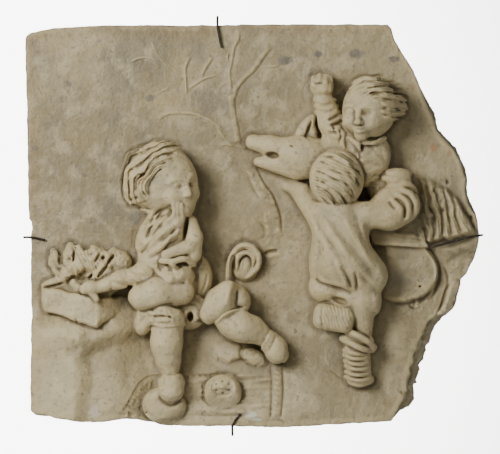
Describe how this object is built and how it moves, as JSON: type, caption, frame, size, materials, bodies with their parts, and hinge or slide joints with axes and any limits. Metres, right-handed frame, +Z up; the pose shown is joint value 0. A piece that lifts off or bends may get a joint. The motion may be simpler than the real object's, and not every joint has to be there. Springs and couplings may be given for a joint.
{
  "type": "marble relief plaque",
  "caption": "Broken marble slab with a deeply carved winter scene of children, a fire box and a pig, held to a wall by wire clips.",
  "frame": {"origin": "middle of the slab's flat back, where it lies against the wall", "axes": "+Z up, +Y out of the back into the wall, so the carved face looks along -Y; +X to the right of a person facing the carving"},
  "size_m": [0.3226, 0.0701, 0.2946],
  "materials": {
    "marble": "weathered honed marble, beige grey, dirt in the hollows",
    "wire": "dark lacquered steel wire"
  },
  "bodies": {
    "root": {"relief_slab": "marble", "clip_top": "wire", "clip_left": "wire", "clip_right": "wire", "clip_bottom": "wire"}
  },
  "joints": []
}
